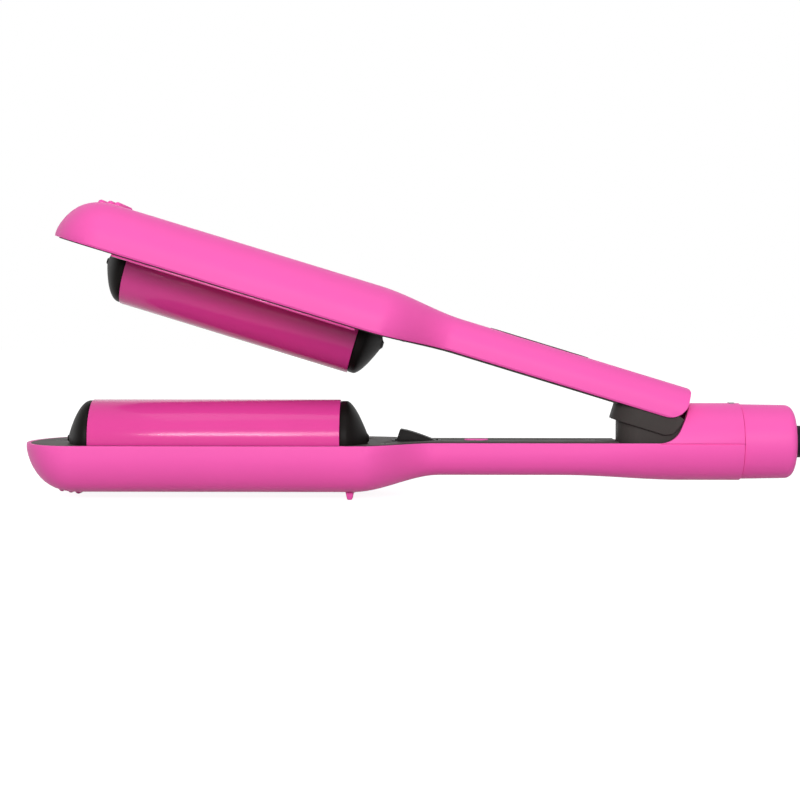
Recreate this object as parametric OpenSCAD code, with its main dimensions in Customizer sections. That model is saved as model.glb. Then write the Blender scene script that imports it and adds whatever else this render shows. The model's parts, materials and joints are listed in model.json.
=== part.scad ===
// Hair waver: two sprung arms, each with one heated barrel and one concave plate.
// Millimetres. The arms are drawn closed about the hinge pin, -X towards the tips,
// and the upper arm is then turned open. The whole stands on its moulded feet at z = 0.

/* [Arms] */
// Hinge pin to the tip of either arm
arm_reach = 275.2; // [262:0.1:290]
// Hinge pin to the end face of the tail
tail_reach = 46.8; // [46:0.1:49]
// Angle at which the upper arm stands open
open_angle = 17; // [12:0.5:18]
// Width of an arm at the barrels
front_w = 75; // [74.6:0.2:80]
// Width of an arm at the handle
handle_w = 32; // [31:0.1:33]
// Depth of the lower shell at the handle
lower_handle_d = 13.8; // [13.4:0.1:15]
// Depth of the upper shell at the handle
upper_handle_d = 14; // [13.6:0.1:15]
// Wall of the moulded shells
wall = 1.8; // [1.4:0.1:2]
// Length of the rounded nose
nose_len = 24; // [17:0.5:26]
// Height of the straight side below the rim
side_h = 3.7; // [3:0.1:4.5]
// Radius of the shells' lower corners at the barrels
front_corner = 16; // [12:0.5:17]
// Radius of the shells' lower corners at the handle
handle_corner = 10; // [7:0.5:11]
// Hinge pin above the lower rim
rim_drop = 4.8; // [4.6:0.1:5.2]
// Upper rim above the hinge pin at the barrels
upper_rim_front = 1.4; // [1:0.1:2]
// Upper rim above the hinge pin at the handle
upper_rim_handle = 3.6; // [3.2:0.1:4]
// Hinge pin to where the broad front begins to narrow
shoulder_tip = 134; // [132:0.5:137]
// Hinge pin to where the handle has its own width
shoulder_tail = 103; // [100:0.5:106]

/* [Barrels and plates] */
// Room between a concave plate and the wall of the shell beside it
plate_room = 0.25; // [0.15:0.05:0.4]
// Room between a concave plate and the floor of the lower shell
lower_room = 1.4; // [1.2:0.1:3]
// Room between a concave plate and the floor of the upper shell
upper_room = 2.8; // [2.4:0.1:4]
// Wall of a barrel tube
barrel_wall = 1.5; // [1:0.1:2]
// Room between the end of a barrel and the tip of the arm
tip_room = 30.5; // [30:0.5:36]
// Hinge pin to the near end of a barrel
barrel_start = 142.2; // [142:0.1:146]
// Gap for the hair between a barrel and its plate
hair_gap = 1.5; // [1.3:0.1:1.7]
// Thickness of a concave plate
plate_t = 1.2; // [0.8:0.1:1.3]
// Barrel axes below the hinge pin when closed
wave_drop = 2.6; // [2.4:0.1:2.8]
// How far a plate's lip stands past its rim
lip_h = 1.2; // [0.6:0.1:1.4]
// Length of a domed cap at the heel
heel_cap_len = 11.5; // [10:0.1:12]
// Length of a domed cap at the tip
tip_cap_len = 10.8; // [10:0.1:11.5]
// Clearance of a pocket around the other arm's cap
pocket_gap = 1.3; // [1:0.1:1.5]
// Thickness of a pocket's wall
pocket_t = 1.2; // [0.8:0.1:1.3]

/* [Deck] */
// Thickness of the inner deck
deck_t = 2; // [1.6:0.1:2.4]
// Height of the handle deck above the lower rim
deck_proud = 0.6; // [0.2:0.1:1]
// How far the upper deck stands out below its rim
deck_below = 0.8; // [0.2:0.1:1.2]
// Hinge pin to the middle of the power switch
switch_at = 111.2; // [110:0.2:112]
// Length of the rocker
rocker_len = 17; // [15:0.5:18]
// Width of the rocker
rocker_w = 9; // [7:0.5:10]
// Height of the rocker's peak above its axle
rocker_h = 5.2; // [4:0.1:6]
// Turn of the rocker from on to off
rocker_turn = 14; // [10:1:16]
// Hinge pin to the middle of the button
button_at = 86; // [82:0.5:88]
// Length of the button
button_len = 10.2; // [8:0.2:12]
// Width of the button
button_w = 6; // [5:0.2:8]
// Travel of the button
button_travel = 0.8; // [0.5:0.1:1]
// Thickness of the control board
board_t = 1.6; // [1.2:0.1:2]
// Hinge pin to the board's near end
board_start = 44; // [42:1:48]
// Hinge pin to the board's far end
board_end = 121; // [120:0.5:122]
// Diameter of a deck screw's shank
screw_d = 2.4; // [2:0.1:3]
// Diameter of a deck screw's head
screw_head_d = 4.4; // [3.8:0.1:5]

/* [Hinge] */
// Radius of the hinge pin
pin_r = 1.5; // [1.2:0.05:1.7]
// Running clearance of turning fits
running_gap = 0.05; // [0.03:0.01:0.09]
// Hinge pin to the front of the skirt
skirt_front = 29.9; // [29.6:0.1:31]
// Bottom edge of the skirt below the hinge pin
skirt_drop = 3.8; // [3.6:0.1:3.9]
// Wall of the skirt and of the block inside it
skirt_wall = 1.8; // [1.4:0.1:2]
// Plan radius of the skirt's front corners
skirt_corner = 11; // [9:0.5:12]
// Clearance between the skirt and the block
skirt_gap = 0.4; // [0.3:0.05:0.5]
// Hinge pin to the front of the block
block_front = 26.9; // [26.5:0.1:27.1]
// Top of the block above the hinge pin
block_top = 6.6; // [6:0.1:7]
// Thickness of a hinge ear
ear_t = 2.6; // [2:0.1:2.8]
// Wire of the opening spring
spring_wire = 1.2; // [1:0.1:1.3]
// Turns of the opening spring
spring_turns = 5; // [4:1:6]

/* [Tail] */
// Outer radius of the tail
tail_r = 16.2; // [16:0.05:16.6]
// Length of the twist ring
ring_len = 22.5; // [22:0.1:23]
// Width of the seam gap
seam_gap = 0.25; // [0.1:0.05:0.4]
// Radius of the twist ring at the seam
ring_r1 = 15.7; // [15.5:0.05:16]
// Radius of the twist ring near its end
ring_r2 = 15.4; // [15.2:0.05:15.7]
// Radius of the twist ring's end edge
ring_edge = 3.5; // [2:0.25:4]
// Turn of the twist ring
ring_turn = 40; // [30:5:45]
// Travel of the catch bolt
bolt_travel = 4; // [3.6:0.1:4.2]
// Radius of the strain relief at the end face
relief_r1 = 6.7; // [6:0.1:7]
// Radius of the strain relief at its thin end
relief_r2 = 4.6; // [4.2:0.1:5]
// Length of the strain relief past the end face
relief_len = 30; // [24:1:34]

/* [Feet and grip] */
// Height of a stand foot
foot_h = 3.4; // [2.8:0.1:4]
// Hinge pin to the stand feet
foot_at = 138.6; // [138:0.2:141]
// Width of a grip nub
nub_w = 3; // [2:0.1:3.2]
// Height of a grip nub
nub_h = 1.7; // [0.8:0.1:2]
// Spacing of the rows of grip nubs
nub_pitch = 3.4; // [3.2:0.1:4]
// Hinge pin to the near end of the grip inlay
inlay_start = 46; // [44:1:50]
// Length of the grip inlay
inlay_len = 43; // [36:1:46]
// Width of the grip inlay
inlay_w = 15; // [10:0.5:16]

/* [Cord] */
// Diameter of the mains lead
cord_d = 6.4; // [6.2:0.1:6.4]
// Thickness of the plug's body
plug_t = 13.7; // [12:0.1:14]
// Width of the plug's body
plug_w = 35.3; // [30:0.1:36]
// Length of the plug's body
plug_len = 35; // [30:0.5:37]
// Diameter of a plug pin
plug_pin_d = 4; // [3.8:0.1:4.8]
// Length of a plug pin
plug_pin_len = 19; // [17:0.5:20]
// Spacing of the plug pins
plug_pin_pitch = 18.6; // [17:0.1:20]

/* [Hidden] */
$fn = 48;
eps = 0.01;

pink = [0.96, 0.40, 0.70];
coated = [0.80, 0.22, 0.50];
black = [0.10, 0.10, 0.10];
steel = [0.70, 0.70, 0.72];
grey = [0.55, 0.55, 0.56];

// Where things are: u is a distance from the hinge pin towards the tip, v a height above the pin
rim_low = -rim_drop;
barrel_r = (front_w / 2 - wall - plate_room - plate_t - 1.5 * hair_gap) / 2;
barrel_len = arm_reach - tip_room - barrel_start;
wave_y = barrel_r + hair_gap / 2;
wave_v = -wave_drop;
groove_r = barrel_r + hair_gap;
plate_r = groove_r + plate_t;
barrel_end = barrel_start + barrel_len;
nose_start = arm_reach - nose_len;
tail_blend = 50;
ring_seam = tail_reach - ring_len;
lower_front_d = plate_r + lower_room + wall + wave_drop - rim_drop;
upper_front_d = plate_r + upper_room + wall - wave_drop - upper_rim_front;
pivot_x = (arm_reach - tail_reach) / 2;
pivot_z = foot_h + lower_front_d + rim_drop;
fit = 0.05;
slip = 0.3;
over = 1;
wide = 200;

function smooth(t) = t <= 0 ? 0 : t >= 1 ? 1 : t * t * (3 - 2 * t);
function mix(a, b, t) = a + (b - a) * t;
function flip(pts) = [for (i = [len(pts) - 1:-1:0]) pts[i]];

// Shape of an arm at distance u; arm 0 is the lower one, arm 1 the upper one
function shoulder(u) = smooth((shoulder_tip - u) / (shoulder_tip - shoulder_tail));
function belly(u) = smooth((shoulder_tip + 4 - u) / (shoulder_tip - shoulder_tail + 6));
function to_tail(arm, u) = arm == 0 ? smooth((tail_blend - u) / tail_blend) : 0;
function half_w(arm, u) = mix(mix(front_w, handle_w, shoulder(u)) / 2, tail_r, to_tail(arm, u));
function depth(arm, u) = arm == 0
    ? mix(mix(lower_front_d, lower_handle_d, belly(u)), tail_r, to_tail(arm, u))
    : mix(upper_front_d, upper_handle_d, belly(u));
function corner(arm, u) = mix(mix(front_corner, handle_corner, belly(u)), tail_r, to_tail(arm, u));
function side(arm, u) = mix(side_h, lip_round * 2, to_tail(arm, u));
function rim(arm, u) = arm == 0 ? rim_low : mix(upper_rim_front, upper_rim_handle, belly(u));

// One cross section inset by t, of a nose that has closed in to the share n: points
// [y, drop below the rim] from the rim to the middle, then mirrored to the other rim
arc_steps = 6;
lip_round = 0.5;
nose_flat = 0.4;
function half_section(arm, u, n, t, rise) =
    let (w = (half_w(arm, u) - t) * n,
         s = max(side(arm, u) * n, 2 * lip_round),
         rx = min(corner(arm, u) - t, w - nose_flat),
         rz = (depth(arm, u) - side(arm, u) - t) * n,
         top = t > 0 ? [[w, -rise]] : [[w - lip_round, 0], [w, lip_round * 1.5]])
    concat(top, [for (i = [0:arc_steps]) let (a = 90 * i / arc_steps)
        [w - rx + rx * cos(a), s + rz * sin(a)]]);
function section(arm, u, n, t, rise) =
    let (h = half_section(arm, u, n, t, rise)) concat(h, [for (p = flip(h)) [-p[0], p[1]]]);

// Stations [u, n] along an arm, from the nose to its tail end
nose_angles = [86, 75, 64, 52, 39, 26, 13, 0];
function stations(t, end) = concat(
    [for (a = nose_angles) [nose_start + (nose_len - t) * sin(a), cos(a)]],
    [for (u = [shoulder_tip + 4:-4:shoulder_tail - 5]) [u, 1]],
    [for (u = [tail_blend:-10:10]) [u, 1]], [[end, 1]]);

// Solid lofted through the sections; the drop is measured downwards, and the upper arm is mirrored
module loft(arm, t, rise, end) {
    rings = [for (st = stations(t, end)) [for (p = section(arm, st[0], st[1], t, rise))
        [-st[0], p[0], (arm == 0 ? 1 : -1) * rim(arm, st[0]) - p[1]]]];
    m = len(rings[0]);
    n = len(rings);
    walls = [for (i = [0:n - 2]) for (j = [0:m - 1]) let (k = (j + 1) % m)
        each [[i * m + j, i * m + k, (i + 1) * m + k], [i * m + j, (i + 1) * m + k, (i + 1) * m + j]]];
    polyhedron([for (r = rings) for (p = r) p], concat([[for (j = [m - 1:-1:0]) j]], walls,
        [[for (j = [0:m - 1]) (n - 1) * m + j]]), convexity = 6);
}
module loft_of(arm, t, rise, end) mirror([0, 0, arm]) loft(arm, t, rise, end);

// Frames of the two arms, of the closed barrels and of the tail
module lower_arm() translate([pivot_x, 0, pivot_z]) children();
module upper_arm() translate([pivot_x, 0, pivot_z]) rotate([0, open_angle, 0]) children();
module arm_frame(arm) {
    if (arm == 0) lower_arm() children();
    else upper_arm() children();
}
module wave(arm) arm_frame(arm) translate([0, 0, wave_v]) rotate([180 * arm, 0, 0]) children();
module tail_axis() lower_arm() translate([0, 0, rim_low]) children();
module along_x() rotate([0, 90, 0]) children();
module slab_y(w) rotate([90, 0, 0]) translate([0, 0, -w / 2]) linear_extrude(w) children();

// Inner deck: stations [u, n] at those of the shell, its plan and its level along the arm
deck_nose = nose_len - wall - 3 * fit;
function deck_start(arm) = (arm == 0 ? block_front : skirt_front) + 0.4;
function deck_stations(arm) = concat([for (a = nose_angles) [nose_start + deck_nose * sin(a), cos(a)]],
    [for (u = [shoulder_tip + 4:-4:shoulder_tail - 5]) [u, 1]], [[deck_start(arm), 1]]);
function deck_half(st) = (half_w(1, st[0]) - wall - fit) * st[1];
function deck_level(arm, u) = rim(arm, u)
    + (arm == 0 ? deck_proud * belly(u) : -deck_below * (1 + belly(u)) / 2);
module deck_slab(arm) {
    sts = deck_stations(arm);
    away = arm == 0 ? -deck_t : deck_t;
    intersection() {
        linear_extrude(wide, center = true) polygon(concat([for (st = sts) [-st[0], deck_half(st)]],
            [for (st = flip(sts)) [-st[0], -deck_half(st)]]));
        slab_y(wide) polygon(concat([for (st = sts) [-st[0], deck_level(arm, st[0])]],
            [for (st = flip(sts)) [-st[0], deck_level(arm, st[0]) + away]]));
    }
}

// Domed cap about X: a short band, then a dome, all grown by a clearance
heel_band = 2.5;
heel_power = 1.6;
heel_r = barrel_r - 0.6;
tip_band = 1.2;
tip_power = 1.9;
tip_r = barrel_r - 0.4;
dome_steps = 8;
function dome_x(i, band, length) = band + (length - band) * i / dome_steps;
module dome(band, length, power, r, grow) along_x() rotate_extrude() polygon(concat([[0, 0],
    [r + grow, 0]], [for (i = [0:dome_steps - 1]) let (x = dome_x(i, band, length))
        [r * (1 - pow((x - band) / (length - band), power)) + grow, x]], [[grow + 1.2, length],
    [0, length + grow]]));
module heel_dome(grow) translate([-barrel_start, 0, 0]) dome(heel_band, heel_cap_len, heel_power,
    heel_r, grow);
module tip_dome(grow) translate([-barrel_end, 0, 0]) mirror([1, 0, 0]) dome(tip_band, tip_cap_len,
    tip_power, tip_r, grow);

// Distance from the barrels' axis to the inside of the shell behind it
function shell_reach(arm) = arm == 0 ? wave_v - (rim_low - lower_front_d + wall)
    : upper_rim_front + upper_front_d - wall - wave_v;

// Spigot of a cap in the tube and the foot that stands on the shell; d is 1 at the heel, -1 at the tip
cap_foot = [4, 8];
spigot_len = 3;
module cap_root(arm, d, at) translate([-at, 0, 0]) mirror([d < 0 ? 1 : 0, 0, 0]) {
    translate([-spigot_len, 0, 0]) along_x() cylinder(r = barrel_r - barrel_wall - fit, h = spigot_len + over);
    translate([0, -cap_foot[1] / 2, -shell_reach(arm) + fit])
        cube([cap_foot[0], cap_foot[1], shell_reach(arm) - barrel_r + 3]);
}
module heel_cap(arm) color(black) wave(arm) translate([0, -wave_y, 0]) {
    heel_dome(0);
    cap_root(arm, 1, barrel_start);
}
module tip_cap(arm) color(black) wave(arm) translate([0, -wave_y, 0]) {
    tip_dome(0);
    cap_root(arm, -1, barrel_end);
}

// Heated barrel on the near side of its arm
module barrel(arm) color(coated) wave(arm) translate([-barrel_end, -wave_y, 0]) along_x() difference() {
    cylinder(r = barrel_r, h = barrel_len, $fn = 96);
    translate([0, 0, -over]) cylinder(r = barrel_r - barrel_wall, h = barrel_len + 2 * over, $fn = 96);
}
heater_len = barrel_len - 18.5;
heater_w = 16;
heater_t = 3;
shoe_web = 4;
heater_end = barrel_start + (barrel_len + heater_len) / 2;
module heat_shoe(arm) color(steel) wave(arm) translate([-heater_end, -wave_y, 0]) difference() {
    along_x() cylinder(r = barrel_r - barrel_wall - fit, h = heater_len);
    translate([-over, -barrel_r, -heater_t / 2 - fit])
        cube([heater_len + 2 * over, 2 * barrel_r, heater_t + 2 * fit]);
    for (z = [heater_t / 2 + shoe_web, -heater_t / 2 - shoe_web - barrel_r])
        translate([-over, -heater_w / 2 + 2, z]) cube([heater_len + 2 * over, heater_w - 4, barrel_r]);
}
module heater(arm) color("ivory") wave(arm)
    translate([-heater_end + 1, -wave_y - heater_w / 2, -heater_t / 2])
        cube([heater_len - 2, heater_w, heater_t]);

// Concave plate on the far side of its arm, with a lip past the rim and two lugs on the shell
plate_gap = acos((pow(2 * wave_y, 2) + pow(plate_r, 2) - pow(barrel_r + slip, 2)) / (4 * wave_y * plate_r));
lug_w = 8;
lug_len = 5;
lug_inset = 20;
function lip_drop(arm) = arm == 0 ? wave_v - rim_low - lip_h : upper_rim_front - lip_h - wave_v;
module channel(arm) color(coated) wave(arm) translate([0, wave_y, 0]) {
    low = plate_gap - 90;
    high = acos(lip_drop(arm) / plate_r);
    translate([-barrel_end, 0, 0]) along_x() rotate([0, 0, low]) rotate_extrude(angle = high - low, $fn = 96)
        translate([groove_r, 0]) square([plate_t, barrel_len]);
    for (u = [barrel_start + lug_inset, barrel_end - lug_inset])
        translate([-u - lug_len / 2, 0, 0]) difference() {
            translate([0, -lug_w / 2, -shell_reach(arm) + fit])
                cube([lug_len, lug_w, shell_reach(arm) - plate_r + over]);
            translate([-over, 0, 0]) along_x()
                cylinder(r = plate_r - plate_t / 2, h = lug_len + 2 * over, $fn = 96);
        }
}
strip_len = barrel_len - 22.5;
strip_w = 8;
strip_t = 2.5;
module channel_heater(arm) color("ivory") wave(arm) translate([0, wave_y, 0]) rotate([-45, 0, 0])
    translate([-barrel_start - (barrel_len + strip_len) / 2, -strip_w / 2, -plate_r - strip_t - fit])
        cube([strip_len, strip_w, strip_t]);

// Deck screws: places [u, y] and the posts that take them
screw_len = 9;
head_h = 1.3;
post_r = 3.2;
screw_at = [[arm_reach - 13, 0], [shoulder_tip - 10, 21], [shoulder_tip - 10, -21], [38, 0]];
module at_screws(arm) for (p = screw_at)
    translate([-p[0], p[1], deck_level(arm, p[0])]) rotate([180 * arm, 0, 0]) children();
module screws(arm) color(steel) arm_frame(arm) at_screws(arm) {
    translate([0, 0, -head_h]) cylinder(d = screw_head_d, h = head_h);
    translate([0, 0, -screw_len]) cylinder(d = screw_d, h = screw_len);
}
module screw_holes(arm) at_screws(arm) {
    translate([0, 0, -head_h]) cylinder(d = screw_head_d + 2 * fit, h = head_h + over);
    translate([0, 0, -screw_len - over]) cylinder(d = screw_d + 2 * fit, h = screw_len + over);
}
module posts(arm) at_screws(arm) translate([0, 0, -lower_front_d]) difference() {
    cylinder(r = post_r, h = lower_front_d - deck_t - slip, $fn = 16);
    translate([0, 0, lower_front_d - screw_len - over])
        cylinder(d = screw_d + 4 * fit, h = screw_len, $fn = 16);
}

// Rows of moulded grip nubs on the outside of the tip
nub_rows = 3;
nub_cols = 9;
nub_sunk = 0.1;
nub_first = arm_reach - nose_len + 0.8;
module nubs(arm) for (i = [0:nub_rows - 1]) for (j = [0:nub_cols - 1 - i % 2])
    translate([-nub_first - i * nub_pitch, (j - (nub_cols - 1 - i % 2) / 2) * nub_pitch,
        nub_base(arm, nub_first + i * nub_pitch)]) hull() {
        translate([0, 0, -over]) cylinder(d = nub_w, h = over, $fn = 8);
        translate([0, 0, nub_h / 2]) cylinder(d = nub_w * 0.86, h = eps, $fn = 8);
        cylinder(d = nub_w / 2.5, h = nub_h, $fn = 8);
    }
function nose_share(u) = u <= nose_start ? 1 : sqrt(1 - pow((u - nose_start) / nose_len, 2));
function nub_base(arm, u) = (arm == 0 ? lower_front_d : upper_front_d) * nose_share(u) - nub_sunk;

// Stand feet under the lower shell
foot_y = 17;
foot_w = 9;
module stand_foot(s) translate([-foot_at, s * foot_y, rim_low - lower_front_d]) hull() {
    translate([-1.7, -foot_w / 2, -eps]) cube([3.4, foot_w, 1.5]);
    translate([-1, -foot_w / 2 + 1, -foot_h]) cube([2, foot_w - 2, 1]);
}

// Board and its posts
board_w = 20;
board_v = rim_low - lower_handle_d + wall + 4.4;
board_post_r = 2;
board_posts = [[board_start + 8, 6], [board_start + 8, -6], [board_end - 20, 6], [board_end - 20, -6]];

module lower_shell() color(pink) lower_arm() {
    difference() {
        loft_of(0, 0, 0, -ring_seam);
        loft_of(0, wall, over, -ring_seam - over);
    }
    intersection() {
        loft_of(0, wall / 2, 0, -ring_seam);
        union() {
            posts(0);
            for (p = board_posts) translate([-p[0], p[1], board_v - wide])
                cylinder(r = board_post_r, h = wide - fit, $fn = 12);
        }
    }
    for (s = [-1, 1]) stand_foot(s);
    translate([0, 0, rim_low]) mirror([0, 0, 1]) nubs(0);
}

module upper_shell() color(pink) upper_arm() {
    intersection() {
        difference() {
            loft_of(1, 0, 0, 0);
            loft_of(1, wall, over, rear_gap + wall);
            inlay_bed(inlay_w + 2 * fit, inlay_len + 2 * fit, wide);
        }
        slab_y(wide) rear_profile();
    }
    intersection() {
        loft_of(1, wall / 2, 0, rear_gap + wall);
        posts(1);
    }
    translate([0, 0, upper_rim_front]) nubs(1);
}
// Bed of the grip inlay: what lies further out than its depth
inlay_depth = 0.8;
inlay_proud = 0.25;
module inlay_bed(w, l, top) difference() {
    translate([-inlay_start - inlay_len / 2, 0, upper_rim_handle + side_h + 1]) linear_extrude(top) pill(l, w);
    loft_of(1, inlay_depth, over, rear_gap);
}
module grip_inlay() color(black) upper_arm() intersection() {
    inlay_bed(inlay_w, inlay_len, wide);
    loft_of(1, -inlay_proud, 0, rear_gap);
}
// Side view of the upper shell's rear end, with its rounded corners
rear_gap = 2;
rear_low_r = 8;
rear_top_r = 1.7;
module rear_profile() {
    top = upper_rim_handle + upper_handle_d;
    polygon(concat([[-wide * 2, wide], [-rear_gap - rear_top_r, wide],
        [-rear_gap - rear_top_r, top + eps]],
        [for (a = [75:-15:0]) [-rear_gap - rear_top_r + rear_top_r * cos(a),
            top - rear_top_r + rear_top_r * sin(a)]],
        [for (a = [0:-15:-75]) [-rear_gap - rear_low_r + rear_low_r * cos(a),
            upper_rim_handle + rear_low_r + rear_low_r * sin(a)]],
        [[-rear_gap - rear_low_r, upper_rim_handle - eps], [-rear_gap - rear_low_r, -wide],
        [-wide * 2, -wide]]));
}

// Deck with its openings: round the near barrel, over the far plate and as pockets past its ends
module deck(arm) color(black) arm_frame(arm) difference() {
    union() {
        deck_slab(arm);
        intersection() {
            pocket_blank(arm);
            translate([-2 * wide, -wide, arm == 0 ? -wide : deck_level(1, barrel_start) + eps])
                cube([4 * wide, 2 * wide, wide + (arm == 0 ? rim_low : 0) - eps]);
        }
    }
    in_wave(arm) translate([0, -wave_y, 0]) {
        heel_dome(slip);
        tip_dome(slip);
        roller(barrel_r + slip);
    }
    in_wave(arm) translate([0, wave_y, 0]) {
        heel_dome(pocket_gap);
        tip_dome(pocket_gap);
        roller(plate_r + 2 * fit);
    }
    screw_holes(arm);
}
module in_wave(arm) translate([0, 0, wave_v]) rotate([180 * arm, 0, 0]) children();
module roller(r) translate([-barrel_end - eps, 0, 0]) along_x()
    cylinder(r = r, h = barrel_len + 2 * eps, $fn = 96);
module pocket_blank(arm) in_wave(arm) translate([0, wave_y, 0]) {
    heel_dome(pocket_gap + pocket_t);
    tip_dome(pocket_gap + pocket_t);
}

// Power switch: a frame in the deck with a rocker on an axle at rim level
frame_side = 1.2;
frame_len = rocker_len + 4;
frame_w = rocker_w + 2 * slip + 2 * frame_side;
axle_r = 1.2;
rocker_low = 2.5;
well_d = rocker_low + rocker_len / 2 * sin(rocker_turn) + 0.4;
module lower_liner() difference() {
    deck(0);
    lower_arm() translate([-switch_at - frame_len / 2 - fit, -frame_w / 2 - fit, rim_low - 2 * deck_t])
        cube([frame_len + 2 * fit, frame_w + 2 * fit, 4 * deck_t]);
    lower_arm() translate([-button_at, 0, rim_low - 2 * deck_t])
        linear_extrude(4 * deck_t) pill(button_len + 2 * slip, button_w + 2 * slip);
}
module pill(l, w) {
    square([l - w, w], center = true);
    for (s = [-1, 1]) translate([s * (l - w) / 2, 0]) circle(d = w);
}
module switch_frame() color(black) lower_arm() translate([-switch_at, 0, rim_low]) difference() {
    floor_v = board_v + board_t - rim_low + fit;
    translate([-frame_len / 2, -frame_w / 2, floor_v]) cube([frame_len, frame_w, deck_proud - floor_v]);
    translate([-rocker_len / 2 - 2 * slip, -rocker_w / 2 - slip, -well_d])
        cube([rocker_len + 4 * slip, rocker_w + 2 * slip, well_d + 2 * over]);
    rotate([90, 0, 0]) cylinder(r = axle_r + running_gap, h = rocker_w + 2 * slip + 1.6, center = true);
}
module rocker() color(black) lower_arm() translate([-switch_at, 0, rim_low]) {
    h = rocker_len / 2;
    peak = -h + 2;
    slab_y(rocker_w) polygon(concat([[-h, -rocker_low], [-h, 0.3], [peak - 0.6, rocker_h - 0.5]],
        [for (i = [0:6]) let (x = mix(peak, h, i / 6)) [x, 0.3 + (rocker_h - 0.3) * (1 - pow(i / 6, 1.3))]],
        [[h, -rocker_low]]));
    rotate([90, 0, 0]) cylinder(r = axle_r, h = rocker_w + 2 * slip + 1.4, center = true);
}
module mode_button() color(pink) lower_arm() translate([-button_at, 0, rim_low + deck_proud]) {
    flange = 1;
    under = -deck_t - 2 * fit;
    translate([0, 0, under - eps]) linear_extrude(0.5 - under) pill(button_len, button_w);
    translate([0, 0, under - flange]) linear_extrude(flange) pill(button_len + 2, button_w + 2);
    translate([0, 0, stem_end]) cylinder(r = 1.5, h = under - stem_end);
}
tact_h = 1.5;
stem_end = board_v + board_t + tact_h + button_travel + 2 * fit - rim_low - deck_proud;
module control_board() color("darkgreen") lower_arm() {
    difference() {
        translate([-board_end, -board_w / 2, board_v]) cube([board_end - board_start, board_w, board_t]);
        translate([-screw_at[3][0], 0, board_v - over]) cylinder(r = post_r + slip, h = board_t + 2 * over);
    }
    translate([-button_at, 0, board_v + board_t]) {
        translate([-3, -3, -eps]) cube([6, 6, tact_h - 0.5]);
        cylinder(r = 1.7, h = tact_h);
    }
    translate([-board_start - 14, -7, board_v + board_t - eps]) cube([10, 14, 4]);
    translate([-board_start - 27, -6, board_v + board_t - eps]) cube([10, 12, 3.4]);
    for (y = [-lead_y, lead_y]) translate([-board_start - 6, y - 2, board_v + board_t - eps]) cube([5, 4, 4]);
}
lead_y = 4.2;
lead_r = 0.9;
lead_v = board_v + board_t + 2;
tube_end = tail_reach - 2.8;
end_wall = 2.5;
bush_t = 3.9;
socket_t = 2.9;
socket_at = tube_end - end_wall - running_gap - bush_t - seam_gap - socket_t;
module supply_leads() color("firebrick") lower_arm() for (y = [-lead_y, lead_y])
    translate([-board_start - 1, y, lead_v]) along_x()
        cylinder(r = lead_r, h = socket_at + board_start + 1 - fit);

// Tail: upper half of the housing, with the swept front edge
collar_lean = 26;
collar_fillet = 9.5;
collar_front = 3.4;
module collar_top() color(pink) tail_axis() intersection() {
    translate([-30, 0, 0]) along_x() difference() {
        cylinder(r = tail_r, h = 30 + ring_seam, $fn = 96);
        translate([0, 0, -over]) cylinder(r = tail_r - wall, h = wide, $fn = 96);
    }
    slab_y(wide) collar_profile();
}
module collar_profile() {
    foot_x = collar_front - tail_r * tan(collar_lean);
    run = collar_fillet * tan((90 - collar_lean) / 2);
    arc_x = foot_x - run;
    polygon(concat([[ring_seam, fit], [ring_seam, tail_r + over], [collar_front + over * tan(collar_lean),
        tail_r + over]], [for (a = [90 - collar_lean:-8:0]) [arc_x + collar_fillet * sin(a),
        fit + collar_fillet * (1 - cos(a))]]));
}
mark = [2.2, 5, 0.3];
module index_mark() color(grey) tail_axis() intersection() {
    translate([ring_seam - 2 - mark[0], -mark[1] / 2, 0]) cube([mark[0], mark[1], wide]);
    along_x() difference() {
        cylinder(r = tail_r + mark[2], h = ring_seam, $fn = 96);
        translate([0, 0, -over]) cylinder(r = tail_r, h = ring_seam + 2 * over, $fn = 96);
    }
}

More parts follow.
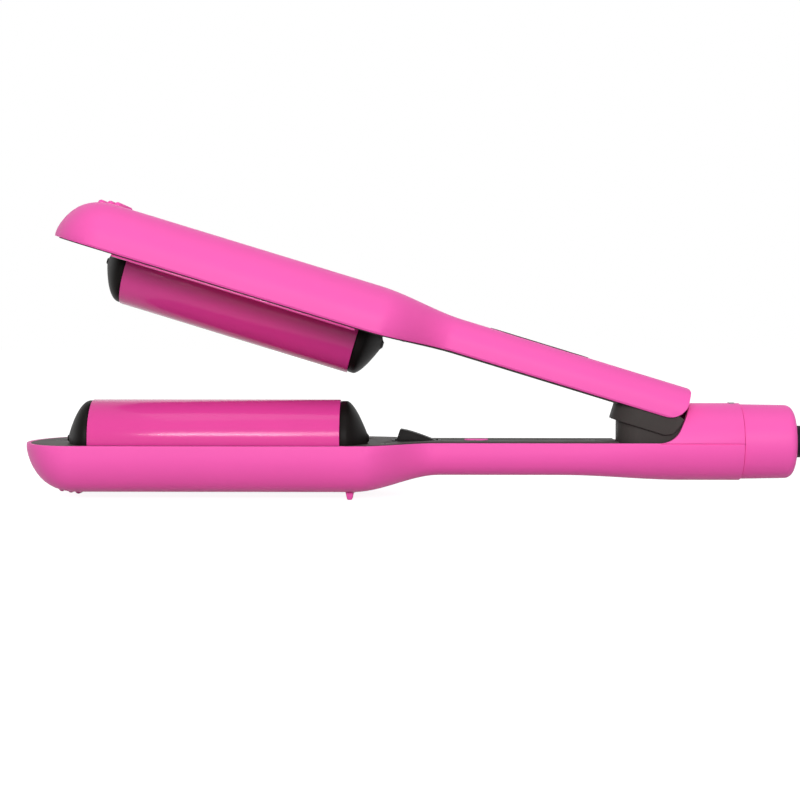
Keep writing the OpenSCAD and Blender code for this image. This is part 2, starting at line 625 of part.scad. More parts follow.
// Hinge. Plan outlines open at the rear, with round front corners
module shroud_plan(front, half, r, back) {
    translate([-front, -half + r]) square([r, 2 * (half - r)]);
    translate([-front + r, -half]) square([front - r + back, 2 * half]);
    for (s = [-1, 1]) translate([-front + r, s * (half - r)]) circle(r = r);
}
skirt_half = handle_w / 2 - wall - 0.2;
block_half = skirt_half - skirt_wall - skirt_gap;
ear_out = block_half - skirt_wall - skirt_gap;
ear_in = ear_out - ear_t;
skirt_deck = block_top + 0.6;
skirt_top = skirt_deck + 1.4;
skirt_post = [-12, 3.5];
ear_r = 4.2;
bar = [4.2, 6.6, 3];
catch_half_w = 3;
catch_end = ring_seam - 6;
catch_slot = catch_end - 3.7;
bolt_half_w = 2.5;
bolt_half_h = 1;
bolt_gap = 0.25;
module hinge_skirt() color(black) upper_arm() difference() {
    union() {
        difference() {
            intersection() {
                translate([0, 0, -skirt_drop]) linear_extrude(skirt_top + skirt_drop)
                    shroud_plan(skirt_front, skirt_half, skirt_corner, 0);
                slab_y(wide) polygon([[-wide, -wide], [-7.6, -wide], [-7.6, -skirt_drop], [-4.5, -2.5],
                    [-2.7, 0.8], [-1.8, 4.8], [-rear_gap - wall - slip, 5.4], [-rear_gap - wall - slip, wide],
                    [-wide, wide]]);
            }
            translate([0, 0, -wide]) linear_extrude(wide + skirt_deck)
                shroud_plan(skirt_front - skirt_wall, skirt_half - skirt_wall, skirt_corner - skirt_wall, over);
        }
        for (s = [-1, 1]) translate([0, s * (ear_in + ear_out) / 2, 0]) slab_y(ear_t) {
            circle(r = ear_r);
            polygon([[-16, skirt_deck + eps], [-9, -3], [0, -ear_r], [3, 0], [-rear_gap - wall - slip, 5.4],
                [-rear_gap - wall - slip - 0.1, skirt_deck + eps]]);
            translate([0, -bar[2]]) square([bar[1], 2 * bar[2]]);
        }
        slab_y(2 * ear_out) translate([bar[0], -bar[2]]) square([bar[1] - bar[0], 2 * bar[2]]);
        translate([skirt_post[0], 0, skirt_deck + eps]) cylinder(r = skirt_post[1],
            h = upper_rim_handle + upper_handle_d - wall - fit - skirt_deck - eps);
    }
    rotate([90, 0, 0]) cylinder(r = pin_r + running_gap, h = wide, center = true);
}
// Tail behind the pin that the bolt catches
module catch_tail() color(black) upper_arm() slab_y(2 * catch_half_w) {
    translate([bar[1], -bar[2]]) square([catch_slot - bar[1], 2 * bar[2]]);
    translate([bar[1], bolt_half_h + bolt_gap]) square([catch_end - bar[1], bar[2] - bolt_half_h - bolt_gap]);
}
block_drop = 2.5;
block_corner = 9;
block_back = 3.5;
block_leg = [-24, 3, 2];
spring_rest = [-14, 3, 2];
module hinge_block() color(black) lower_arm() difference() {
    bottom = rim_low - block_drop;
    union() {
        difference() {
            intersection() {
                translate([0, 0, bottom]) linear_extrude(block_top - bottom)
                    shroud_plan(block_front, block_half, block_corner, block_back);
                slab_y(wide) polygon([[-wide, -wide], [wide, -wide], [wide, 2], [2, 3], [-4, 3],
                    [-8, block_top + over], [-wide, block_top + over]]);
            }
            translate([0, 0, -wide]) linear_extrude(2 * wide) shroud_plan(block_front - skirt_wall,
                block_half - skirt_wall, block_corner - skirt_wall, block_back + over);
        }
        translate([block_leg[0], -block_leg[2], rim_low - depth(0, -block_leg[0]) + wall + fit])
            cube([block_leg[1], 2 * block_leg[2], depth(0, -block_leg[0]) - wall - fit - 1]);
        translate([-block_front + over, -block_leg[2], bottom])
            cube([block_leg[0] + block_front, 2 * block_leg[2], 3]);
        translate([spring_rest[0], -block_half + over, bottom])
            cube([spring_rest[1], 2 * (block_half - over), spring_rest[2]]);
    }
    rotate([90, 0, 0]) cylinder(r = pin_r, h = wide, center = true);
}
module pivot_pin() color(steel) lower_arm() rotate([90, 0, 0])
    cylinder(r = pin_r, h = 2 * (block_half - 2 * fit), center = true);

// Tube through a list of points; its sides are set out from a reference direction
function unit(v) = v / norm(v);
function heading(p, i) = unit(p[min(i + 1, len(p) - 1)] - p[max(i - 1, 0)]);
module tube(p, r, sides, ref) {
    n = len(p);
    rings = [for (i = [0:n - 1]) let (t = heading(p, i), a = unit(cross(ref, t)), b = cross(t, a))
        each [for (k = [0:sides - 1]) let (w = 360 * (k + 0.5) / sides) p[i] + r * (cos(w) * a + sin(w) * b)]];
    walls = [for (i = [0:n - 2]) for (k = [0:sides - 1]) let (j = (k + 1) % sides)
        each [[i * sides + k, (i + 1) * sides + k, (i + 1) * sides + j],
            [i * sides + k, (i + 1) * sides + j, i * sides + j]]];
    polyhedron(rings, concat([[for (k = [0:sides - 1]) k]], walls,
        [flip([for (k = [0:sides - 1]) (n - 1) * sides + k])]), convexity = 10);
}
spring_r = pin_r + 0.5 + spring_wire / 2;
spring_pitch = spring_wire + 0.2;
module hinge_spring() color(steel) lower_arm() {
    coil = [for (i = [0:8 * spring_turns]) let (a = -90 - 45 * i)
        [spring_r * cos(a), spring_pitch * (i / 8 - spring_turns / 2), spring_r * sin(a)]];
    first = coil[0];
    last = coil[len(coil) - 1];
    tube(concat([[-12.5, first[1], rim_low - block_drop + spring_rest[2] + spring_wire / 2 + fit],
        [-5, first[1], -spring_r - 0.6]], coil), spring_wire / 2, 6, [0, 1, 0]);
}

// Tail frame: a flange seated in the housing and the tube that carries the twist ring
frame_from = ring_seam - 4.1;
tube_r = 12.5;
tube_bore = 10.4;
neck_r = relief_r1 + 0.3;
peg_at = ring_seam + 6.7;
peg_r = 1.4;
peg_top = 13.6;
bolt_h = rim_drop;
module tail_frame() color(black) tail_axis() difference() {
    along_x() difference() {
        union() {
            translate([0, 0, frame_from])
                cylinder(r = tail_r - wall - 0.2, h = ring_seam - seam_gap - frame_from);
            translate([0, 0, frame_from]) cylinder(r = tube_r, h = tube_end - frame_from);
        }
        translate([0, 0, ring_seam]) cylinder(r = tube_bore, h = tube_end - end_wall - ring_seam);
        cylinder(r = neck_r + running_gap, h = wide);
    }
    translate([0, -bolt_half_w - 2 * fit, bolt_h - bolt_half_h - 2 * fit])
        cube([ring_seam + over, 2 * bolt_half_w + 4 * fit, 2 * bolt_half_h + 4 * fit]);
    translate([peg_at - bolt_travel - peg_r - slip, -peg_r - slip, 0])
        cube([bolt_travel + 2 * (peg_r + slip), 2 * (peg_r + slip), wide]);
}
module lock_bolt() color(steel) tail_axis() {
    tip = catch_end + 1.1;
    translate([tip, -bolt_half_w, bolt_h - bolt_half_h])
        cube([peg_at + 2 - tip, 2 * bolt_half_w, 2 * bolt_half_h]);
    translate([peg_at, 0, bolt_h]) cylinder(r = peg_r, h = peg_top - bolt_h);
}
groove_steps = 8;
ring_bore = tube_r + running_gap;
module lock_ring() color(pink) tail_axis() difference() {
    along_x() difference() {
        rotate_extrude($fn = 96) polygon(concat([[0, ring_seam + seam_gap], [ring_r1, ring_seam + seam_gap]],
            [for (a = [0:15:90]) [ring_r2 - ring_edge * (1 - cos(a)), tail_reach - ring_edge * (1 - sin(a))]],
            [[0, tail_reach]]));
        cylinder(r = ring_bore, h = tube_end + seam_gap);
        cylinder(r = relief_r1 + 0.5, h = wide);
    }
    for (i = [0:groove_steps]) rotate([-ring_turn * i / groove_steps, 0, 0])
        translate([peg_at - bolt_travel * i / groove_steps, 0, ring_bore - 1])
            cylinder(r = peg_r + slip, h = peg_top + slip - ring_bore + 1);
}
module swivel_socket() color(black) tail_axis() translate([socket_at, 0, 0]) along_x()
    cylinder(r = tube_bore - fit, h = socket_t);
module swivel_bush() color("ivory") tail_axis() along_x() difference() {
    union() {
        translate([0, 0, tube_end - end_wall - running_gap - bush_t]) cylinder(r = tube_bore - 0.2, h = bush_t);
        translate([0, 0, tube_end - end_wall - bush_t]) cylinder(r = neck_r, h = end_wall + bush_t);
    }
    cylinder(r = cord_d / 2, h = wide);
}
relief_end = tail_reach + relief_len;
rib_first = 7;
rib_pitch = 3.6;
rib_gap = 1.4;
rib_deep = 0.8;
ribs = 5;
function relief_r(x) = mix(relief_r1, relief_r2, max(0, x - 4) / (relief_len - 4));
module strain_relief() color(black) tail_axis() along_x() rotate_extrude() polygon(concat(
    [[0, tube_end], [relief_r1, tube_end], [relief_r1, tail_reach + 4]],
    [for (i = [0:ribs - 1]) let (x = rib_first + i * rib_pitch) each [[relief_r(x), tail_reach + x],
        [relief_r(x) - rib_deep, tail_reach + x], [relief_r(x) - rib_deep, tail_reach + x + rib_gap],
        [relief_r(x + rib_gap), tail_reach + x + rib_gap]]],
    [[relief_r2, relief_end], [0, relief_end]]));

// Mains lead, in the frame of the whole. From the strain relief down to the surface, then the coil
lead_route = [[191.05, 0, 23.1], [197, 0, 23.1], [203, -0.2, 22.4], [208, -0.6, 20.8], [213, -1.3, 18],
    [218, -2.2, 13.6], [223, -3.2, 9.2], [228, -4.2, 6.4], [234, -5.3, 4.7], [240, -5.9, 4.2],
    [244, -6, 4.2], [249.6, -6, 4.2]];
// From the coil's end over its top to the plug
end_route = [[262.45, -6, 25.2], [267, -6, 25.2], [272.5, -5.5, 26.1], [278.5, -4, 27.5], [284, -1, 29.2],
    [289.5, 2.5, 31], [294, 7, 32.8], [297.5, 12, 34.2], [300.5, 18, 35], [302, 24, 35.3],
    [302.5, 30.5, 35.3], [302, 37, 35.3], [300.5, 43, 35.3], [297.5, 49, 35.3], [294, 54, 35.3],
    [289.5, 58.5, 35.3], [284, 62, 35.3], [278.5, 65, 35.3], [272, 67, 35.3], [265, 67, 35.3],
    [258, 67, 35.3]];
cord_sides = 8;
module cord_lead() color(black) tube(lead_route, cord_d / 2, cord_sides, [0, 0, 1]);
module cord_end() color(black) tube(end_route, cord_d / 2, cord_sides, [0, 0, 1]);

// Coil: four layers that spiral in and out, climbing where the spiral turns
coil_x = 256;
coil_y = 38.5;
coil_in = 27;
coil_out = 44.5;
coil_low = 4.2;
coil_pitch = 7;
coil_layers = 4;
layer_turns = (coil_out - coil_in) / coil_pitch;
coil_turns = coil_layers * layer_turns;
coil_rings = 24;
function coil_point(t) =
    let (k = min(floor(t / layer_turns), coil_layers - 1),
         f = coil_pitch * (t - k * layer_turns),
         r = k % 2 == 0 ? coil_out - f : coil_in + f,
         a = 360 * t - 90)
    [coil_x + r * cos(a), coil_y + r * sin(a), coil_low + coil_pitch * layers_below(t)];
function layers_below(t) = smooth(2 * (t - layer_turns) + 0.5) + smooth(2 * (t - 2 * layer_turns) + 0.5)
    + smooth(2 * (t - 3 * layer_turns) + 0.5);
coil_points = [for (i = [0:coil_rings * coil_turns]) coil_point(i / coil_rings)];
coil_gap = min([for (i = [0:len(coil_points) - 1]) for (j = [i + coil_rings / 2:1:len(coil_points) - 1])
    norm(coil_points[i] - coil_points[j])]) - cord_d;
echo(coil_gap = coil_gap);
module cord_coil() color(black) {
    last = coil_points[len(coil_points) - 1];
    tube(concat([coil_points[0] - [cord_d, 0, 0]], coil_points, [last + [cord_d, 0, 0]]),
        cord_d / 2, 6, [0, 0, 1]);
}
tie_t = 0.8;
tie_w = 8;
module rounded(x0, z0, x1, z1, r) {
    translate([x0 + r, z0]) square([x1 - x0 - 2 * r, z1 - z0]);
    translate([x0, z0 + r]) square([x1 - x0, z1 - z0 - 2 * r]);
    for (x = [x0 + r, x1 - r]) for (z = [z0 + r, z1 - r]) translate([x, z]) circle(r = r);
}
module coil_tie() color(grey) translate([coil_x, coil_y, 0]) slab_y(tie_w) {
    x0 = coil_in - cord_d / 2 - 0.6;
    x1 = coil_out + cord_d / 2 + 0.3;
    z0 = coil_low - cord_d / 2 - 0.1;
    z1 = coil_low + (coil_layers - 1) * coil_pitch + cord_d / 2 + 0.3;
    difference() {
        rounded(x0 - tie_t, z0 - tie_t, x1 + tie_t, z1 + tie_t, 3);
        rounded(x0, z0, x1, z1, 2.2);
    }
}
// Two pin plug, lying on the coil
plug_neck = 10;
plug_at = end_route[len(end_route) - 1];
module plug() translate(plug_at) {
    color(black) {
        translate([-plug_neck, 0, 0]) along_x()
            cylinder(r1 = plug_t / 2 - 1, r2 = cord_d / 2 + 0.8, h = plug_neck);
        translate([-plug_neck, 0, 0]) linear_extrude(plug_t, center = true) polygon([[eps, 7], [eps, -7],
            [-plug_len / 3, -plug_w / 2 + 2], [-plug_len / 2, -plug_w / 2], [-plug_len, -plug_w / 2 + 3],
            [-plug_len, plug_w / 2 - 3], [-plug_len / 2, plug_w / 2], [-plug_len / 3, plug_w / 2 - 2]]);
    }
    color(steel) for (s = [-1, 1]) translate([-plug_neck - plug_len - plug_pin_len, s * plug_pin_pitch / 2, 0])
        along_x() cylinder(d = plug_pin_d, h = plug_pin_len + over);
}

lower_shell();
lower_liner();
barrel(0);  // lower_barrel
heat_shoe(0);  // lower_heat_shoe
heater(0);  // lower_heater
channel(0);  // lower_channel
channel_heater(0);  // lower_channel_heater
tip_cap(0);  // lower_tip_cap
heel_cap(0);  // lower_heel_cap
screws(0);  // lower_screws
switch_frame();
control_board();
supply_leads();
collar_top();
index_mark();
hinge_block();
pivot_pin();
hinge_spring();
tail_frame();
swivel_socket();
upper_shell();
deck(1);  // upper_liner
barrel(1);  // upper_barrel
heat_shoe(1);  // upper_heat_shoe
heater(1);  // upper_heater
channel(1);  // upper_channel
channel_heater(1);  // upper_channel_heater
tip_cap(1);  // upper_tip_cap
heel_cap(1);  // upper_heel_cap
screws(1);  // upper_screws
hinge_skirt();
catch_tail();
grip_inlay();
rocker();
mode_button();
lock_ring();
lock_bolt();
swivel_bush();
strain_relief();
cord_lead();
cord_coil();
cord_end();
coil_tie();
plug();
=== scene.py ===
import json
from math import acos, cos, degrees, pi, radians, sin, sqrt, tan
import bmesh
import bpy
from mathutils import Matrix, Vector


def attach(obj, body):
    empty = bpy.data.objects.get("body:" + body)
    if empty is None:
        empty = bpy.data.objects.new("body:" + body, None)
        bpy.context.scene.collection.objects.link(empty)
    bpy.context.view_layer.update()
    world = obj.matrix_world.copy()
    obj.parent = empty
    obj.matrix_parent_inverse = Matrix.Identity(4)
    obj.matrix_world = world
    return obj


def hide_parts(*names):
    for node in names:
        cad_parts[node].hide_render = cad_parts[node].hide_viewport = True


# Hair waver, standing open on its feet. Sizes are millimetres until a piece is finished.
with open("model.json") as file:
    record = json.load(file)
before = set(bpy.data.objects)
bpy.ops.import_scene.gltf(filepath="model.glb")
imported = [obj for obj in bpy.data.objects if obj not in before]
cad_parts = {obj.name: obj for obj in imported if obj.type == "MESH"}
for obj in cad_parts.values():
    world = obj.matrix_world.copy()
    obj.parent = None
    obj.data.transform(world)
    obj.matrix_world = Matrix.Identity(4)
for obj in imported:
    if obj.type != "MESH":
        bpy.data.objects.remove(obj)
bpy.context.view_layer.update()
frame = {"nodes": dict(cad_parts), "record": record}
nodes = frame["nodes"]
scene = bpy.context.scene

# ---- shared frames: the hinge pin, the two arms and the tail ----
arms = {"reach": 275.2, "tail": 46.8, "pinX": 114.2, "pinZ": 27.9, "rimDrop": 4.8, "open": 17,
        "waveV": -2.6, "waveY": 16.75, "barrelStart": 142.2, "barrelLen": 102.5}
barrelEnd = arms["barrelStart"] + arms["barrelLen"]
lowerArm = Matrix.Translation((arms["pinX"], 0, arms["pinZ"]))
upperArm = lowerArm @ Matrix.Rotation(radians(arms["open"]), 4, "Y")
armFrames = [lowerArm, upperArm]
armBodies = ["lower_arm", "upper_arm"]
armNames = ["lower", "upper"]
tailAxis = Matrix.Translation((arms["pinX"], 0, arms["pinZ"] - arms["rimDrop"]))


def waveFrame(arm):
    return (armFrames[arm] @ Matrix.Translation((0, 0, arms["waveV"]))
            @ Matrix.Rotation(pi * arm, 4, "X"))


# ---- camera ----
view = {"at": (8.7, -718, 65.9), "aim": (-4.0, 0, 40.5), "lens": 76.5, "sensor": 36}
camera = bpy.data.objects.new("camera", bpy.data.cameras.new("camera"))
scene.collection.objects.link(camera)
camera.location = Vector(view["at"]) * 0.001
towards = Vector(view["aim"]) - Vector(view["at"])
camera.rotation_euler = towards.to_track_quat("-Z", "Y").to_euler()
camera.data.lens = view["lens"]
camera.data.sensor_width = view["sensor"]
scene.camera = camera
scene.view_settings.view_transform = "Standard"


# ---- materials ----
def newMaterial(name):
    material = bpy.data.materials.new(name)
    material.use_nodes = True
    tree = material.node_tree
    shader = tree.nodes["Principled BSDF"]
    return material, tree, shader


def objectPoint(tree, stretch=(1, 1, 1)):
    where = tree.nodes.new("ShaderNodeTexCoord")
    mapping = tree.nodes.new("ShaderNodeMapping")
    mapping.inputs["Scale"].default_value = stretch
    tree.links.new(where.outputs["Object"], mapping.inputs["Vector"])
    return mapping.outputs["Vector"]


def noise(tree, point, scale, detail=3.0, roughness=0.5):
    node = tree.nodes.new("ShaderNodeTexNoise")
    node.inputs["Scale"].default_value = scale
    node.inputs["Detail"].default_value = detail
    node.inputs["Roughness"].default_value = roughness
    tree.links.new(point, node.inputs["Vector"])
    return node.outputs["Fac"]


def ramp(tree, value, low, high, lowColour, highColour):
    node = tree.nodes.new("ShaderNodeValToRGB")
    node.color_ramp.elements[0].position = low
    node.color_ramp.elements[0].color = lowColour
    node.color_ramp.elements[1].position = high
    node.color_ramp.elements[1].color = highColour
    tree.links.new(value, node.inputs["Fac"])
    return node.outputs["Color"]


def toRange(tree, value, low, high):
    node = tree.nodes.new("ShaderNodeMapRange")
    node.inputs["To Min"].default_value = low
    node.inputs["To Max"].default_value = high
    tree.links.new(value, node.inputs["Value"])
    return node.outputs["Result"]


def bump(tree, shader, height, distance, strength, below=None):
    node = tree.nodes.new("ShaderNodeBump")
    node.inputs["Distance"].default_value = distance
    node.inputs["Strength"].default_value = strength
    tree.links.new(height, node.inputs["Height"])
    if below:
        tree.links.new(below, node.inputs["Normal"])
    tree.links.new(node.outputs["Normal"], shader.inputs["Normal"])
    return node.outputs["Normal"]


def srgb(r, g, b):
    def linear(c):
        c /= 255
        return c / 12.92 if c <= 0.04045 else ((c + 0.055) / 1.055) ** 2.4
    return (linear(r), linear(g), linear(b), 1)


def shaded(colour, share):
    return (colour[0] * share, colour[1] * share, colour[2] * share, 1)


# look: cloud scale and tint, roughness range, grain scale, its depth and bump, coat
def moulded(name, colour, look):
    material, tree, shader = newMaterial(name)
    point = objectPoint(tree)
    cloud = noise(tree, point, look["cloud"], 2)
    tree.links.new(ramp(tree, cloud, 0.3, 0.7, shaded(colour, 1 - look["tint"]), colour),
                   shader.inputs["Base Color"])
    tree.links.new(toRange(tree, noise(tree, point, look["cloud"] * 3, 4), *look["rough"]),
                   shader.inputs["Roughness"])
    shader.inputs["Coat Weight"].default_value = look.get("coat", 0)
    shader.inputs["Coat Roughness"].default_value = look.get("coatRough", 0.1)
    shader.inputs["Specular IOR Level"].default_value = look.get("specular", 0.5)
    grain = noise(tree, point, look["grain"], 2, 0.6)
    bump(tree, shader, grain, look["depth"], look.get("bump", 0.5))
    return material


def metal(name, colour, rough, stretch, depth):
    material, tree, shader = newMaterial(name)
    lines = noise(tree, objectPoint(tree, stretch), 900, 3)
    shader.inputs["Base Color"].default_value = colour
    shader.inputs["Metallic"].default_value = 1
    tree.links.new(toRange(tree, lines, *rough), shader.inputs["Roughness"])
    bump(tree, shader, lines, depth, 0.3)
    return material


pinkPlastic = moulded("pinkPlastic", srgb(252, 98, 186), {
    "cloud": 14, "tint": 0.03, "rough": (0.42, 0.5), "grain": 2600, "depth": 0.00001, "bump": 0.25,
    "specular": 0.16})
pinkCoating = moulded("pinkCoating", srgb(234, 70, 160), {
    "cloud": 30, "tint": 0.04, "rough": (0.2, 0.25),
    "grain": 1400, "depth": 0.000006, "bump": 0.2, "specular": 0.05, "coat": 0.42, "coatRough": 0.15})
blackPlastic = moulded("blackPlastic", srgb(77, 72, 70), {
    "cloud": 40, "tint": 0.25, "rough": (0.5, 0.6),
    "grain": 2300, "depth": 0.00006, "bump": 0.6, "specular": 0.08})
capPlastic = moulded("capPlastic", srgb(24, 21, 20), {
    "cloud": 40, "tint": 0.2, "rough": (0.4, 0.48),
    "grain": 2600, "depth": 0.00003, "bump": 0.4, "specular": 0.07})
cordRubber = moulded("cordRubber", srgb(30, 23, 32), {
    "cloud": 60, "tint": 0.2, "rough": (0.5, 0.65),
    "grain": 1800, "depth": 0.00004, "bump": 0.4, "specular": 0.12})
ceramic = moulded("ceramic", srgb(226, 220, 206), {
    "cloud": 120, "tint": 0.1, "rough": (0.55, 0.7),
    "grain": 1500, "depth": 0.00004, "bump": 0.4})
paleNylon = moulded("paleNylon", srgb(222, 220, 212), {
    "cloud": 80, "tint": 0.06, "rough": (0.4, 0.5),
    "grain": 1500, "depth": 0.00002, "bump": 0.3})
greyPrint = moulded("greyPrint", srgb(150, 140, 146), {
    "cloud": 90, "tint": 0.05, "rough": (0.5, 0.6),
    "grain": 1500, "depth": 0.00001, "bump": 0.2})
boardGreen = moulded("boardGreen", srgb(26, 92, 52), {
    "cloud": 300, "tint": 0.35, "rough": (0.3, 0.5),
    "grain": 900, "depth": 0.00003, "bump": 0.4})
redWire = moulded("redWire", srgb(168, 34, 30), {
    "cloud": 100, "tint": 0.1, "rough": (0.4, 0.5),
    "grain": 1200, "depth": 0.00002, "bump": 0.3})
wovenGrey = moulded("wovenGrey", srgb(92, 92, 96), {
    "cloud": 500, "tint": 0.4, "rough": (0.8, 0.95),
    "grain": 1600, "depth": 0.0002, "bump": 0.8})
blackedSteel = metal("blackedSteel", (0.04, 0.038, 0.036, 1), (0.4, 0.5), (1, 1, 8), 0.00001)
steel = metal("steel", (0.56, 0.56, 0.57, 1), (0.22, 0.36), (1, 1, 8), 0.00001)
alloy = metal("alloy", (0.70, 0.71, 0.72, 1), (0.35, 0.5), (0.05, 1, 1), 0.00002)
slotMaterials = {"pink_plastic": pinkPlastic, "pink_coating": pinkCoating, "black_plastic": blackPlastic,
                 "steel": steel, "alloy": alloy, "ceramic": ceramic, "grey_mark": greyPrint,
                 "board": boardGreen, "red_wire": redWire, "white_plastic": paleNylon,
                 "cord_black": cordRubber, "tie_grey": wovenGrey}
nodeSlots = {part["node"]: part["material_slot"] for part in frame["record"]["subparts"]}
for name, node in nodes.items():
    for held in node.material_slots:
        held.material = slotMaterials[nodeSlots[name]]
print("materials ready")


# ---- making and finishing pieces ----
def meshObject(name, points, faces):
    mesh = bpy.data.meshes.new(name)
    mesh.from_pydata([tuple(p) for p in points], [], faces)
    made = bpy.data.objects.new(name, mesh)
    scene.collection.objects.link(made)
    tidyMesh(made)
    return made


def tidyMesh(piece, merge=1e-4):
    work = bmesh.new()
    work.from_mesh(piece.data)
    bmesh.ops.remove_doubles(work, verts=work.verts, dist=merge)
    bmesh.ops.dissolve_degenerate(work, edges=work.edges, dist=merge)
    bmesh.ops.recalc_face_normals(work, faces=work.faces)
    work.to_mesh(piece.data)
    work.free()


def applied(piece):
    graph = bpy.context.evaluated_depsgraph_get()
    mesh = bpy.data.meshes.new_from_object(piece.evaluated_get(graph))
    old = piece.data
    piece.modifiers.clear()
    piece.data = mesh
    bpy.data.meshes.remove(old)
    return piece


def boolean(piece, tool, operation="DIFFERENCE"):
    modifier = piece.modifiers.new("cut", "BOOLEAN")
    modifier.object = tool
    modifier.operation = operation
    modifier.solver = "EXACT"
    applied(piece)
    bpy.data.objects.remove(tool)
    return piece


def softened(piece, width, segments=2, angle=32):
    modifier = piece.modifiers.new("edges", "BEVEL")
    modifier.width = width
    modifier.segments = segments
    modifier.limit_method = "ANGLE"
    modifier.angle_limit = radians(angle)
    modifier.miter_outer = "MITER_ARC"
    return applied(piece)


def joined(name, *parts):
    work = bmesh.new()
    for part in parts:
        work.from_mesh(part.data)
        bpy.data.objects.remove(part)
    mesh = bpy.data.meshes.new(name)
    work.to_mesh(mesh)
    work.free()
    made = bpy.data.objects.new(name, mesh)
    scene.collection.objects.link(made)
    return made


def finish(piece, place, body, slot, material=None, replaced=(), sharp=32):
    piece.data.transform(Matrix.Scale(0.001, 4) @ place)
    piece.data.materials.clear()
    piece.data.materials.append(material or slotMaterials[slot])
    piece.data.shade_smooth()
    piece.data.set_sharp_from_angle(angle=radians(sharp))
    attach(piece, body)
    if replaced:
        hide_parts(*replaced)
    return piece


# profile [x, r] turned about X; closed, with a bore where it doesn't meet the axis
def turned(name, profile, segments=128, start=0.0, sweep=360.0):
    whole = sweep >= 360
    count = segments if whole else segments + 1
    angles = [radians(start + sweep * i / segments) for i in range(count)]
    points = [(x, r * cos(angle), r * sin(angle)) for angle in angles for x, r in profile]
    size = len(profile)
    faces = [(i * size + j, i * size + (j + 1) % size, (i + 1) % count * size + (j + 1) % size,
              (i + 1) % count * size + j) for i in range(segments) for j in range(size)]
    if not whole:
        faces += [tuple(range(size)), tuple(range((count - 1) * size, count * size))]
    return meshObject(name, points, faces)


def block(name, low, high):
    points = [(x, y, z) for x in (low[0], high[0]) for y in (low[1], high[1]) for z in (low[2], high[2])]
    return meshObject(name, points, [(0, 1, 3, 2), (4, 6, 7, 5), (0, 4, 5, 1), (2, 3, 7, 6), (0, 2, 6, 4),
                                     (1, 5, 7, 3)])


# outline drawn up Z, or across Y from a side view
def prism(name, outline, low, high, axis="z"):
    size = len(outline)
    if axis == "z":
        points = [(x, y, low) for x, y in outline] + [(x, y, high) for x, y in outline]
    else:
        points = [(x, low, z) for x, z in outline] + [(x, high, z) for x, z in outline]
    faces = [tuple(range(size)), tuple(range(size, 2 * size))]
    faces += [(i, (i + 1) % size, size + (i + 1) % size, size + i) for i in range(size)]
    return meshObject(name, points, faces)


# a copy of a solid with its edges broken, to stand for it
def refined(name, width, merge=1e-6, flat=0.6, sharp=32):
    source = nodes[name]
    piece = bpy.data.objects.new(name + "_fine", source.data.copy())
    scene.collection.objects.link(piece)
    work = bmesh.new()
    work.from_mesh(piece.data)
    bmesh.ops.remove_doubles(work, verts=work.verts, dist=merge)
    bmesh.ops.dissolve_limit(work, angle_limit=radians(flat), verts=work.verts, edges=work.edges)
    work.to_mesh(piece.data)
    work.free()
    piece.data.transform(Matrix.Scale(1000, 4))
    softened(piece, width, 2, sharp)
    return piece


# ---- mains lead: down from the strain relief, into the coil, over it and to the plug ----
lead = {"diameter": 6.4, "coilX": 256.0, "coilY": 38.5, "inside": 27.0, "outside": 44.5, "low": 4.2,
        "pitch": 7.0, "layers": 4, "rings": 24}
leadRoute = [(191.05, 0, 23.1), (197, 0, 23.1), (203, -0.2, 22.4), (208, -0.6, 20.8), (213, -1.3, 18),
             (218, -2.2, 13.6), (223, -3.2, 9.2), (228, -4.2, 6.4), (234, -5.3, 4.7), (240, -5.9, 4.2),
             (244, -6, 4.2), (249.6, -6, 4.2)]
endRoute = [(262.45, -6, 25.2), (267, -6, 25.2), (272.5, -5.5, 26.1), (278.5, -4, 27.5), (284, -1, 29.2),
            (289.5, 2.5, 31), (294, 7, 32.8), (297.5, 12, 34.2), (300.5, 18, 35), (302, 24, 35.3),
            (302.5, 30.5, 35.3), (302, 37, 35.3), (300.5, 43, 35.3), (297.5, 49, 35.3), (294, 54, 35.3),
            (289.5, 58.5, 35.3), (284, 62, 35.3), (278.5, 65, 35.3), (272, 67, 35.3), (265, 67, 35.3),
            (258, 67, 35.3)]


def smoothStep(t):
    return 0 if t <= 0 else 1 if t >= 1 else t * t * (3 - 2 * t)


def coilPoint(t):
    turnsPerLayer = (lead["outside"] - lead["inside"]) / lead["pitch"]
    layer = min(int(t / turnsPerLayer), lead["layers"] - 1)
    run = lead["pitch"] * (t - layer * turnsPerLayer)
    radius = lead["inside"] + run if layer % 2 else lead["outside"] - run
    angle = 2 * pi * t - pi / 2
    climbed = sum(smoothStep(2 * (t - k * turnsPerLayer) + 0.5) for k in range(1, lead["layers"]))
    return (lead["coilX"] + radius * cos(angle), lead["coilY"] + radius * sin(angle),
            lead["low"] + lead["pitch"] * climbed)


coilTurns = lead["layers"] * (lead["outside"] - lead["inside"]) / lead["pitch"]
coilPoints = [coilPoint(i / lead["rings"]) for i in range(int(lead["rings"] * coilTurns) + 1)]
route = leadRoute + coilPoints + endRoute
leadCurve = bpy.data.curves.new("mains_lead", "CURVE")
leadCurve.dimensions = "3D"
spline = leadCurve.splines.new("POLY")
spline.points.add(len(route) - 1)
for point, place in zip(spline.points, route):
    point.co = (place[0] / 1000, place[1] / 1000, place[2] / 1000, 1)
leadCurve.bevel_depth = lead["diameter"] / 2000
leadCurve.bevel_resolution = 4
leadCurve.use_fill_caps = True
leadCurve.materials.append(cordRubber)
mainsLead = bpy.data.objects.new("mains_lead", leadCurve)
scene.collection.objects.link(mainsLead)
spline.use_smooth = True
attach(mainsLead, "lower_arm")
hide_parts("cord_lead", "cord_coil", "cord_end")

